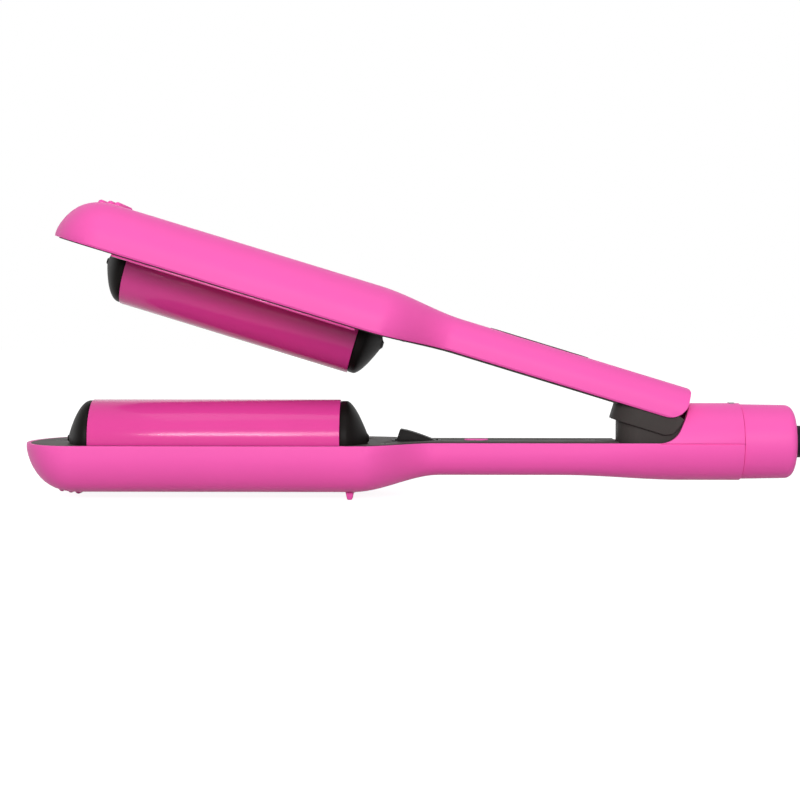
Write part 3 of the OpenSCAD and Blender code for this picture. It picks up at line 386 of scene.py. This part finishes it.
# ---- plug and tie ----
plugLook = {"edge": 1.1, "tieEdge": 0.3, "cordEnds": 258, "neck": 10, "body": 35, "slip": 0.2}
plug = finish(refined("plug", plugLook["edge"]), Matrix(), "lower_arm", "cord_black", replaced=["plug"])
plug.data.materials.append(steel)
pinStart = plugLook["cordEnds"] - plugLook["neck"] - plugLook["body"] - plugLook["slip"]
for face in plug.data.polygons:
    if face.center.x < pinStart / 1000:
        face.material_index = 1
tie = finish(refined("coil_tie", plugLook["tieEdge"]), Matrix(), "lower_arm", "tie_grey",
             replaced=["coil_tie"])

# ---- shells, lofted over the rule that the arms follow ----
shell = {"frontW": 75, "frontD": (19.7, 19.3), "handleW": 32, "handleD": (13.8, 14.0), "wall": 1.8,
         "nose": 24, "side": 3.7, "frontCorner": 16, "handleCorner": 10, "tailR": 16.2, "seam": 24.3,
         "rimFront": 1.4, "rimHandle": 3.6, "shoulderTip": 134, "shoulderTail": 103, "tailBlend": 50,
         "lip": 0.5, "noseFlat": 0.4, "edge": 0.28, "arcSteps": 14}
noseStart = arms["reach"] - shell["nose"]


def mix(a, b, share):
    return a + (b - a) * share


def shoulder(u):
    return smoothStep((shell["shoulderTip"] - u) / (shell["shoulderTip"] - shell["shoulderTail"]))


def belly(u):
    return smoothStep((shell["shoulderTip"] + 4 - u) / (shell["shoulderTip"] - shell["shoulderTail"] + 6))


def toTail(arm, u):
    return smoothStep((shell["tailBlend"] - u) / shell["tailBlend"]) if arm == 0 else 0


def halfWidth(arm, u):
    return mix(mix(shell["frontW"], shell["handleW"], shoulder(u)) / 2, shell["tailR"], toTail(arm, u))


def depthAt(arm, u):
    return mix(mix(shell["frontD"][arm], shell["handleD"][arm], belly(u)), shell["tailR"], toTail(arm, u))


def cornerAt(arm, u):
    return mix(mix(shell["frontCorner"], shell["handleCorner"], belly(u)), shell["tailR"], toTail(arm, u))


def rimAt(arm, u):
    return mix(shell["rimFront"], shell["rimHandle"], belly(u)) if arm else -arms["rimDrop"]


def section(arm, u, share, inset, rise):
    width = (halfWidth(arm, u) - inset) * share
    side = mix(shell["side"], shell["lip"] * 2, toTail(arm, u))
    straight = max(side * share, shell["lip"] * 2)
    across = min(cornerAt(arm, u) - inset, width - shell["noseFlat"])
    down = (depthAt(arm, u) - side - inset) * share
    half = [(width, -rise)] if inset > 0 else [(width - shell["lip"], 0), (width, shell["lip"] * 1.5)]
    for i in range(shell["arcSteps"] + 1):
        angle = pi / 2 * i / shell["arcSteps"]
        half.append((width - across + across * cos(angle), straight + down * sin(angle)))
    return half + [(-y, z) for y, z in reversed(half)]


def loft(name, arm, inset, rise, end):
    stations = [(noseStart + (shell["nose"] - inset) * sin(radians(a)), cos(radians(a)))
                for a in (86, 82, 77, 72, 67, 62, 57, 52, 46, 40, 34, 28, 21, 14, 7, 0)]
    stations += [(u, 1) for u in range(shell["shoulderTip"] + 4, shell["shoulderTail"] - 6, -1)]
    stations += [(u, 1) for u in range(shell["tailBlend"], 0, -2) if u > end] + [(end, 1)]
    upside = -1 if arm else 1
    rings = [[(-u, y, upside * (upside * rimAt(arm, u) - z)) for y, z in section(arm, u, share, inset, rise)]
             for u, share in stations]
    size = len(rings[0])
    faces = [(i * size + j, i * size + (j + 1) % size, (i + 1) * size + (j + 1) % size, (i + 1) * size + j)
             for i in range(len(rings) - 1) for j in range(size)]
    faces += [tuple(range(size)), tuple(range((len(rings) - 1) * size, len(rings) * size))]
    return meshObject(name, [p for ring in rings for p in ring], faces)


lowerShell = boolean(loft("lower_shell_fine", 0, 0, 0, -shell["seam"]),
                     loft("inside", 0, shell["wall"], 1, -shell["seam"] - 1))
softened(lowerShell, shell["edge"], 3, 40)

rear = {"gap": 2.0, "lowR": 8.0, "topR": 1.7, "edge": 0.28}
topLevel = shell["rimHandle"] + shell["handleD"][1]
rearSide = [(-400, 100), (-rear["gap"] - rear["topR"], 100), (-rear["gap"] - rear["topR"], topLevel + 0.01)]
rearSide += [(-rear["gap"] - rear["topR"] + rear["topR"] * cos(radians(a)),
              topLevel - rear["topR"] + rear["topR"] * sin(radians(a))) for a in range(80, -1, -10)]
rearSide += [(-rear["gap"] - rear["lowR"] + rear["lowR"] * cos(radians(a)),
              shell["rimHandle"] + rear["lowR"] + rear["lowR"] * sin(radians(a))) for a in range(0, -86, -5)]
rearSide += [(-rear["gap"] - rear["lowR"], shell["rimHandle"] - 0.01), (-rear["gap"] - rear["lowR"], -100),
             (-400, -100)]
inlay = {"start": 46, "length": 43, "width": 15, "depth": 0.8, "proud": 0.25, "gap": 0.05, "edge": 0.2}


def pillOutline(length, width, centre=(0, 0)):
    straight = (length - width) / 2
    return [(centre[0] + side * straight + width / 2 * cos(radians(a)),
             centre[1] + width / 2 * sin(radians(a)))
            for side, turn in ((1, -90), (-1, 90)) for a in range(turn, turn + 181, 9)]


def inlayBed(name, grow):
    outline = pillOutline(inlay["length"] + grow, inlay["width"] + grow,
                          (-inlay["start"] - inlay["length"] / 2, 0))
    bed = prism(name, outline, shell["rimHandle"] + shell["side"] + 1, 60)
    return boolean(bed, loft("bed_inside", 1, inlay["depth"], 1, rear["gap"]))


upperShell = boolean(loft("upper_shell_fine", 1, 0, 0, 0),
                     loft("inside", 1, shell["wall"], 1, rear["gap"] + shell["wall"]))
boolean(upperShell, prism("rear_side", rearSide, -60, 60, "y"), "INTERSECT")
boolean(upperShell, inlayBed("bed", 2 * inlay["gap"]))
softened(upperShell, rear["edge"], 3, 40)
gripInlay = boolean(inlayBed("grip_inlay_fine", 0), loft("proud", 1, -inlay["proud"], 0, rear["gap"]),
                    "INTERSECT")
softened(gripInlay, inlay["edge"], 2, 40)
finish(gripInlay, upperArm, "upper_arm", "black_plastic", replaced=["grip_inlay"])
print("shells lofted", len(lowerShell.data.polygons), len(upperShell.data.polygons))


# ---- geometry nodes: a small piece repeated on a list of places ----
def nodeTree(name, **sizes):
    tree = bpy.data.node_groups.new(name, "GeometryNodeTree")
    tree.interface.new_socket("Places", in_out="INPUT", socket_type="NodeSocketGeometry")
    for label, value in sizes.items():
        socket = tree.interface.new_socket(label, in_out="INPUT", socket_type="NodeSocketFloat")
        socket.default_value = value
    tree.interface.new_socket("Pieces", in_out="OUTPUT", socket_type="NodeSocketGeometry")
    return tree, tree.nodes.new("NodeGroupInput"), tree.nodes.new("NodeGroupOutput")


def mathNode(tree, operation, first, second):
    node = tree.nodes.new("ShaderNodeMath")
    node.operation = operation
    for socket, value in zip(node.inputs, (first, second)):
        if isinstance(value, (int, float)):
            socket.default_value = value
        else:
            tree.links.new(value, socket)
    return node.outputs[0]


def vectorNode(tree, x, y, z):
    node = tree.nodes.new("ShaderNodeCombineXYZ")
    for socket, value in zip(node.inputs, (x, y, z)):
        if isinstance(value, (int, float)):
            socket.default_value = value
        else:
            tree.links.new(value, socket)
    return node.outputs[0]


def moved(tree, geometry, shift=None, scale=None):
    node = tree.nodes.new("GeometryNodeTransform")
    tree.links.new(geometry, node.inputs["Geometry"])
    if shift is not None:
        tree.links.new(shift, node.inputs["Translation"])
    if scale is not None:
        tree.links.new(scale, node.inputs["Scale"])
    return node.outputs[0]


def repeatedOnPlaces(tree, start, end, instance, material, turn=0.0):
    spread = tree.nodes.new("GeometryNodeInstanceOnPoints")
    spread.inputs["Rotation"].default_value = (turn, 0, 0)
    tree.links.new(start.outputs["Places"], spread.inputs["Points"])
    tree.links.new(instance, spread.inputs["Instance"])
    real = tree.nodes.new("GeometryNodeRealizeInstances")
    tree.links.new(spread.outputs[0], real.inputs[0])
    painted = tree.nodes.new("GeometryNodeSetMaterial")
    painted.inputs["Material"].default_value = material
    tree.links.new(real.outputs[0], painted.inputs["Geometry"])
    tree.links.new(painted.outputs[0], end.inputs["Pieces"])


def grown(name, tree, places, **sizes):
    mesh = bpy.data.meshes.new(name)
    mesh.from_pydata([tuple(p) for p in places], [], [])
    piece = bpy.data.objects.new(name, mesh)
    scene.collection.objects.link(piece)
    modifier = piece.modifiers.new("places", "NODES")
    modifier.node_group = tree
    for item in tree.interface.items_tree:
        if item.in_out == "INPUT" and item.name in sizes:
            modifier[item.identifier] = float(sizes[item.name])
    return applied(piece)


# ---- grip nubs on the outside of both tips ----
nubs = {"rows": 3, "columns": 9, "pitch": 3.4, "first": 0.8, "Width": 3.0, "Height": 1.7, "sunk": 0.1}
nubTree, start, end = nodeTree("gripNubs", Width=nubs["Width"], Height=nubs["Height"])
ball = nubTree.nodes.new("GeometryNodeMeshUVSphere")
ball.inputs["Segments"].default_value = 20
ball.inputs["Rings"].default_value = 12
ball.inputs["Radius"].default_value = 0.5
nub = moved(nubTree, ball.outputs["Mesh"], None, vectorNode(nubTree, start.outputs["Width"],
            start.outputs["Width"], mathNode(nubTree, "MULTIPLY", start.outputs["Height"], 2)))
repeatedOnPlaces(nubTree, start, end, nub, pinkPlastic)


def nubPlaces(arm):
    places = []
    for row in range(nubs["rows"]):
        u = noseStart + nubs["first"] + row * nubs["pitch"]
        share = 1 if u <= noseStart else sqrt(1 - ((u - noseStart) / shell["nose"]) ** 2)
        level = shell["frontD"][arm] * share - nubs["sunk"]
        count = nubs["columns"] - row % 2
        for column in range(count):
            y = (column - (count - 1) / 2) * nubs["pitch"]
            places.append((-u, y, (shell["rimFront"] + level) if arm else (-arms["rimDrop"] - level)))
    return places


foot = {"at": 138.6, "y": 17, "width": 9, "height": 3.4, "edge": 0.45, "half": 1.7, "tipHalf": 1.0,
        "taper": 1, "sunk": 1.4}


def standFoot(side):
    under = -arms["rimDrop"] - shell["frontD"][0]
    points = [(-foot["at"] + x, side * foot["y"] + y, under + z) for x0, y0, z in
              ((foot["half"], foot["width"] / 2, foot["sunk"]), (foot["half"], foot["width"] / 2, -0.01),
               (foot["tipHalf"], foot["width"] / 2 - foot["taper"], -foot["height"]))
              for x in (-x0, x0) for y in (-y0, y0)]
    piece = meshObject("stand_foot", points, [])
    work = bmesh.new()
    work.from_mesh(piece.data)
    bmesh.ops.convex_hull(work, input=work.verts)
    bmesh.ops.dissolve_limit(work, angle_limit=radians(1), verts=work.verts, edges=work.edges)
    work.to_mesh(piece.data)
    work.free()
    return softened(piece, foot["edge"], 3)


lowerNubs = grown("lower_nubs", nubTree, nubPlaces(0), Width=nubs["Width"], Height=nubs["Height"])
upperNubs = grown("upper_nubs", nubTree, nubPlaces(1), Width=nubs["Width"], Height=nubs["Height"])
lowerShell = joined("lower_shell_fine", lowerShell, standFoot(-1), standFoot(1))
finish(lowerShell, lowerArm, "lower_arm", "pink_plastic", replaced=["lower_shell"])
finish(upperShell, upperArm, "upper_arm", "pink_plastic", replaced=["upper_shell"])
finish(lowerNubs, lowerArm, "lower_arm", "pink_plastic", replaced=["lower_shell"])
finish(upperNubs, upperArm, "upper_arm", "pink_plastic", replaced=["upper_shell"])

# ---- deck screws: a head with a cross recess on a shank ----
screws = {"places": [(arms["reach"] - 13, 0), (124, 21), (124, -21), (38, 0)], "HeadWidth": 4.4,
          "HeadHeight": 1.3, "ShankWidth": 2.4, "ShankLength": 7.7}
deck = {"thick": 2, "proud": 0.6, "below": 0.8}


def deckLevel(arm, u):
    return rimAt(arm, u) + (-deck["below"] * (1 + belly(u)) / 2 if arm else deck["proud"] * belly(u))


def screwTree(turn):
    tree, start, end = nodeTree("deckScrews", HeadWidth=screws["HeadWidth"], HeadHeight=screws["HeadHeight"],
                                ShankWidth=screws["ShankWidth"], ShankLength=screws["ShankLength"])

    def rod(width, height, top):
        node = tree.nodes.new("GeometryNodeMeshCylinder")
        node.inputs["Vertices"].default_value = 28
        tree.links.new(mathNode(tree, "MULTIPLY", width, 0.5), node.inputs["Radius"])
        tree.links.new(height, node.inputs["Depth"])
        return moved(tree, node.outputs["Mesh"], vectorNode(tree, 0, 0, mathNode(
            tree, "SUBTRACT", top, mathNode(tree, "MULTIPLY", height, 0.5))))

    head = rod(start.outputs["HeadWidth"], start.outputs["HeadHeight"], 0)
    cutter = tree.nodes.new("GeometryNodeMeshBoolean")
    cutter.operation = "DIFFERENCE"
    tree.links.new(head, cutter.inputs["Mesh 1"])
    for x, y in ((0.62, 0.14), (0.14, 0.62)):
        bar = tree.nodes.new("GeometryNodeMeshCube")
        tree.links.new(vectorNode(tree, mathNode(tree, "MULTIPLY", start.outputs["HeadWidth"], x),
                                  mathNode(tree, "MULTIPLY", start.outputs["HeadWidth"], y),
                                  start.outputs["HeadHeight"]), bar.inputs["Size"])
        tree.links.new(bar.outputs["Mesh"], cutter.inputs["Mesh 2"])
    both = tree.nodes.new("GeometryNodeJoinGeometry")
    shank = rod(start.outputs["ShankWidth"], start.outputs["ShankLength"],
                mathNode(tree, "MULTIPLY", start.outputs["HeadHeight"], -1))
    tree.links.new(cutter.outputs["Mesh"], both.inputs[0])
    tree.links.new(shank, both.inputs[0])
    repeatedOnPlaces(tree, start, end, both.outputs[0], blackedSteel, turn)
    return tree


for arm in (0, 1):
    places = [(-u, y, deckLevel(arm, u)) for u, y in screws["places"]]
    piece = grown(armNames[arm] + "_screws_fine", screwTree(pi * arm), places, HeadWidth=screws["HeadWidth"])
    finish(piece, armFrames[arm], armBodies[arm], "steel", blackedSteel, [armNames[arm] + "_screws"])
print("shells, nubs, feet and screws placed")

# ---- heated barrels, concave plates and domed caps ----
barrel = {"r": 16, "wall": 1.5, "edge": 0.35}
plate = {"r": 17.5, "thick": 1.2, "lip": 1.2, "edge": 0.3, "lugWidth": 8, "lugLength": 5, "lugInset": 20}
heel = {"band": 2.5, "length": 11.5, "power": 1.6, "r": 15.4, "tip": 1.2, "edge": 0.5, "foot": (4, 8)}
tip = {"band": 1.2, "length": 10.8, "power": 1.9, "r": 15.6, "tip": 1.2, "edge": 0.5, "foot": (4, 8)}
# from the barrels' axes to the inside of each shell
shellReach = (20.1, 21.5)
spigot = {"in": 3, "out": 0.5, "r": 14.45}
stemTop = 13


def domeProfile(cap, steps=22):
    rising = [(cap["band"] + (cap["length"] - cap["band"]) * i / steps,
               cap["r"] * (1 - (i / steps) ** cap["power"])) for i in range(steps)]
    rising = [(x, r) for x, r in rising if r > cap["tip"]]
    return [(0, 0), (0, cap["r"] - cap["edge"]), (cap["edge"] * 0.3, cap["r"] - cap["edge"] * 0.3),
            (cap["edge"], cap["r"])] + rising + [(cap["length"], cap["tip"]), (cap["length"], 0)]


def capPiece(name, cap, arm, at, side):
    dome = turned(name, domeProfile(cap), 96)
    reach = shellReach[arm] - 0.05
    plugIn = turned("spigot", [(-spigot["in"], 0), (-spigot["in"], spigot["r"]),
                               (spigot["out"], spigot["r"]), (spigot["out"], 0)], 64)
    thick, wide = cap["foot"]
    stem = softened(block("stem", (0, -wide / 2, -reach), (thick, wide / 2, -stemTop)), 0.4)
    piece = joined(name, dome, plugIn, stem)
    if side < 0:
        piece.data.transform(Matrix.Diagonal((-1, 1, 1, 1)))
        piece.data.flip_normals()
    piece.data.transform(Matrix.Translation((-at, -arms["waveY"], 0)))
    return piece


for arm in (0, 1):
    named, body, place = armNames[arm], armBodies[arm], waveFrame(arm)
    outer, inner, edge = barrel["r"], barrel["r"] - barrel["wall"], barrel["edge"]
    end = arms["barrelLen"]
    tube = turned(named + "_barrel_fine", [
        (0, inner), (0, outer - edge), (edge * 0.3, outer - edge * 0.3), (edge, outer), (end / 2, outer),
        (end - edge, outer), (end - edge * 0.3, outer - edge * 0.3), (end, outer - edge), (end, inner)], 160)
    tube.data.transform(Matrix.Translation((-barrelEnd, -arms["waveY"], 0)))
    finish(tube, place, body, "pink_coating", replaced=[named + "_barrel"])
    outside = plate["r"] + plate["thick"]
    gap = degrees(acos(((2 * arms["waveY"]) ** 2 + outside ** 2 - (barrel["r"] + 0.3) ** 2)
                       / (4 * arms["waveY"] * outside)))
    drop = (arms["waveV"] + arms["rimDrop"] - plate["lip"],
            shell["rimFront"] - plate["lip"] - arms["waveV"])[arm]
    # from the inner side, under the trough, up to the lip
    trough = turned(named + "_channel_fine", [
        (0, plate["r"]), (end, plate["r"]), (end, outside), (0, outside)],
        72, 180 + gap, 90 - gap + degrees(acos(drop / outside)))
    softened(trough, plate["edge"], 2, 40)
    trough.data.transform(Matrix.Translation((-barrelEnd, arms["waveY"], 0)))
    lugs = []
    for u in (arms["barrelStart"] + plate["lugInset"], barrelEnd - plate["lugInset"]):
        lugs.append(softened(block("lug", (-u - plate["lugLength"] / 2, arms["waveY"] - plate["lugWidth"] / 2,
                             -shellReach[arm] + 0.05), (-u + plate["lugLength"] / 2,
                             arms["waveY"] + plate["lugWidth"] / 2, -outside + 0.3)), 0.3))
    trough = joined(named + "_channel_fine", trough, *lugs)
    finish(trough, place, body, "pink_coating", replaced=[named + "_channel"])
    for which, cap, at, side in (("heel", heel, arms["barrelStart"], 1), ("tip", tip, barrelEnd, -1)):
        capName = named + "_" + which + "_cap"
        finish(capPiece(capName + "_fine", cap, arm, at, side), place, body, "black_plastic", capPlastic,
               [capName], 40)
print("barrels, plates and caps placed")

# ---- decks, hinge, switch and tail: the CAD pieces with their edges broken ----
fine = {
    "lower_liner": (0.25, "lower_arm", "black_plastic", None),
    "upper_liner": (0.25, "upper_arm", "black_plastic", None),
    "hinge_skirt": (0.45, "upper_arm", "black_plastic", None),
    "hinge_block": (0.4, "lower_arm", "black_plastic", None),
    "catch_tail": (0.3, "upper_arm", "black_plastic", None),
    "switch_frame": (0.25, "lower_arm", "black_plastic", capPlastic),
    "rocker": (0.35, "rocker", "black_plastic", capPlastic),
    "mode_button": (0.3, "mode_button", "pink_plastic", None),
    "tail_frame": (0.2, "lower_arm", "black_plastic", None),
    "swivel_bush": (0.2, "cord_swivel", "white_plastic", None),
    "lock_bolt": (0.15, "lock_bolt", "steel", None)}
for name, (width, body, slot, material) in fine.items():
    finish(refined(name, width), Matrix(), body, slot, material, [name])

collar = {"r": 16.2, "wall": 1.8, "from": -30, "lean": 26, "fillet": 9.5, "front": 3.4, "gap": 0.05,
          "edge": 0.3}


def collarSide():
    footX = collar["front"] - collar["r"] * tan(radians(collar["lean"]))
    arcX = footX - collar["fillet"] * tan(radians((90 - collar["lean"]) / 2))
    top = collar["r"] + 1
    side = [(shell["seam"], collar["gap"]), (shell["seam"], top),
            (collar["front"] + tan(radians(collar["lean"])), top)]
    side += [(arcX + collar["fillet"] * sin(radians(a)),
              collar["gap"] + collar["fillet"] * (1 - cos(radians(a))))
             for a in range(90 - collar["lean"], -1, -4)]
    return side


collarTop = turned("collar_top_fine", [
    (collar["from"], collar["r"] - collar["wall"]), (collar["from"], collar["r"]),
    (shell["seam"], collar["r"]), (shell["seam"], collar["r"] - collar["wall"])], 160)
boolean(collarTop, prism("collar_side", collarSide(), -60, 60, "y"), "INTERSECT")
softened(collarTop, collar["edge"], 3, 40)
finish(collarTop, tailAxis, "lower_arm", "pink_plastic", replaced=["collar_top"])

ring = {"from": 24.55, "to": 46.8, "r1": 15.7, "r2": 15.4, "round": 3.5, "bore": 12.55, "hole": 7.2,
        "wallFrom": 44.25, "edge": 0.3}
ringSide = [(ring["from"], ring["bore"]), (ring["from"], ring["r1"] - ring["edge"]),
            (ring["from"] + ring["edge"] * 0.3, ring["r1"] - ring["edge"] * 0.3),
            (ring["from"] + ring["edge"], ring["r1"])]
ringSide += [(ring["to"] - ring["round"] * (1 - sin(radians(a))),
              ring["r2"] - ring["round"] * (1 - cos(radians(a)))) for a in range(0, 91, 6)]
ringSide += [(ring["to"], ring["hole"] + 0.3), (ring["to"] - 0.1, ring["hole"] + 0.1),
             (ring["to"] - 0.3, ring["hole"]), (ring["wallFrom"], ring["hole"]),
             (ring["wallFrom"], ring["bore"])]
lockRing = turned("lock_ring_fine", ringSide, 160)
finish(lockRing, tailAxis, "lock_ring", "pink_plastic", replaced=["lock_ring"])

relief = {"from": 44.0, "end": 76.8, "r1": 6.7, "r2": 4.6, "first": 7, "pitch": 3.6, "gap": 1.4, "deep": 0.8,
          "ribs": 5, "edge": 0.18, "bore": 3.2}


def reliefRadius(x):
    return mix(relief["r1"], relief["r2"], max(0, x - 4) / (relief["end"] - ring["to"] - 4))


reliefSide = [(relief["from"], 0), (relief["from"], relief["r1"]), (ring["to"] + 4, relief["r1"])]
for i in range(relief["ribs"]):
    x = relief["first"] + i * relief["pitch"]
    near, far, edge = reliefRadius(x), reliefRadius(x + relief["gap"]), relief["edge"]
    floor = near - relief["deep"]
    reliefSide += [(ring["to"] + x + dx, r) for dx, r in (
        (-edge, near), (0, near - edge), (0, floor + edge), (edge, floor), (relief["gap"] - edge, floor),
        (relief["gap"], floor + edge), (relief["gap"], far - edge), (relief["gap"] + edge, far))]
reliefSide += [(relief["end"] - 0.6, relief["r2"]), (relief["end"] - 0.15, relief["r2"] - 0.2),
               (relief["end"], relief["r2"] - 0.6), (relief["end"], 0)]
strainRelief = turned("strain_relief_fine", reliefSide, 80)
finish(strainRelief, tailAxis, "cord_swivel", "cord_black", replaced=["strain_relief"])
print("decks, hinge and tail placed")

# ---- floor and light ----
studio = {"floor": (0.44, 0.44, 0.44, 1), "glow": 0.92, "surround": 0.3, "size": 20}


# second where a ray comes from the camera, a reflection or through glass
def raySwitch(tree, first, second):
    path = tree.nodes.new("ShaderNodeLightPath")
    total = path.outputs["Is Camera Ray"]
    for name in ("Is Glossy Ray", "Is Transmission Ray"):
        total = mathNode(tree, "MAXIMUM", total, path.outputs[name])
    chosen = tree.nodes.new("ShaderNodeMixShader")
    tree.links.new(total, chosen.inputs["Fac"])
    tree.links.new(first, chosen.inputs[1])
    tree.links.new(second, chosen.inputs[2])
    return chosen.outputs[0]


floorMaterial = bpy.data.materials.new("floor")
floorMaterial.use_nodes = True
tree = floorMaterial.node_tree
tree.nodes.remove(tree.nodes["Principled BSDF"])
matt = tree.nodes.new("ShaderNodeBsdfDiffuse")
matt.inputs["Color"].default_value = studio["floor"]
glow = tree.nodes.new("ShaderNodeEmission")
glow.inputs["Strength"].default_value = studio["glow"]
lit = tree.nodes.new("ShaderNodeAddShader")
tree.links.new(matt.outputs[0], lit.inputs[0])
tree.links.new(glow.outputs[0], lit.inputs[1])
tree.links.new(raySwitch(tree, matt.outputs[0], lit.outputs[0]),
               tree.nodes["Material Output"].inputs["Surface"])
half = studio["size"] / 2
floorMesh = bpy.data.meshes.new("floor")
floorMesh.from_pydata([(-half, -half, 0), (half, -half, 0), (half, half, 0), (-half, half, 0)], [],
                      [(0, 1, 2, 3)])
floorMesh.materials.append(floorMaterial)
floor = bpy.data.objects.new("floor", floorMesh)
scene.collection.objects.link(floor)

world = bpy.data.worlds.new("studio")
scene.world = world
world.use_nodes = True
tree = world.node_tree
around = tree.nodes["Background"]
around.inputs["Strength"].default_value = studio["surround"]
white = tree.nodes.new("ShaderNodeBackground")
white.inputs["Color"].default_value = (1, 1, 1, 1)
white.inputs["Strength"].default_value = 1
around.inputs["Color"].default_value = (1, 1, 1, 1)
tree.links.new(raySwitch(tree, around.outputs[0], white.outputs[0]),
               tree.nodes["World Output"].inputs["Surface"])

lamps = {"front": {"at": (0.15, -1.75, 0.5), "size": (1.8, 0.3), "power": 17.8},
         "strip": {"at": (-0.25, -1.7, 0.42), "size": (1.1, 0.06), "power": 6},
         "top": {"at": (0.1, -0.5, 1.6), "size": (1.6, 0.8), "power": 5},
         "back": {"at": (0.1, 1.6, 1.0), "size": (1.6, 0.7), "power": 1.5}}
for name, lamp in lamps.items():
    data = bpy.data.lights.new(name, "AREA")
    data.shape = "RECTANGLE"
    data.size, data.size_y = lamp["size"]
    data.energy = lamp["power"]
    lampObject = bpy.data.objects.new(name, data)
    scene.collection.objects.link(lampObject)
    lampObject.location = lamp["at"]
    aim = Vector((0, 0, 0.05)) - Vector(lamp["at"])
    lampObject.rotation_euler = aim.to_track_quat("-Z", "Y").to_euler()
print("studio ready")
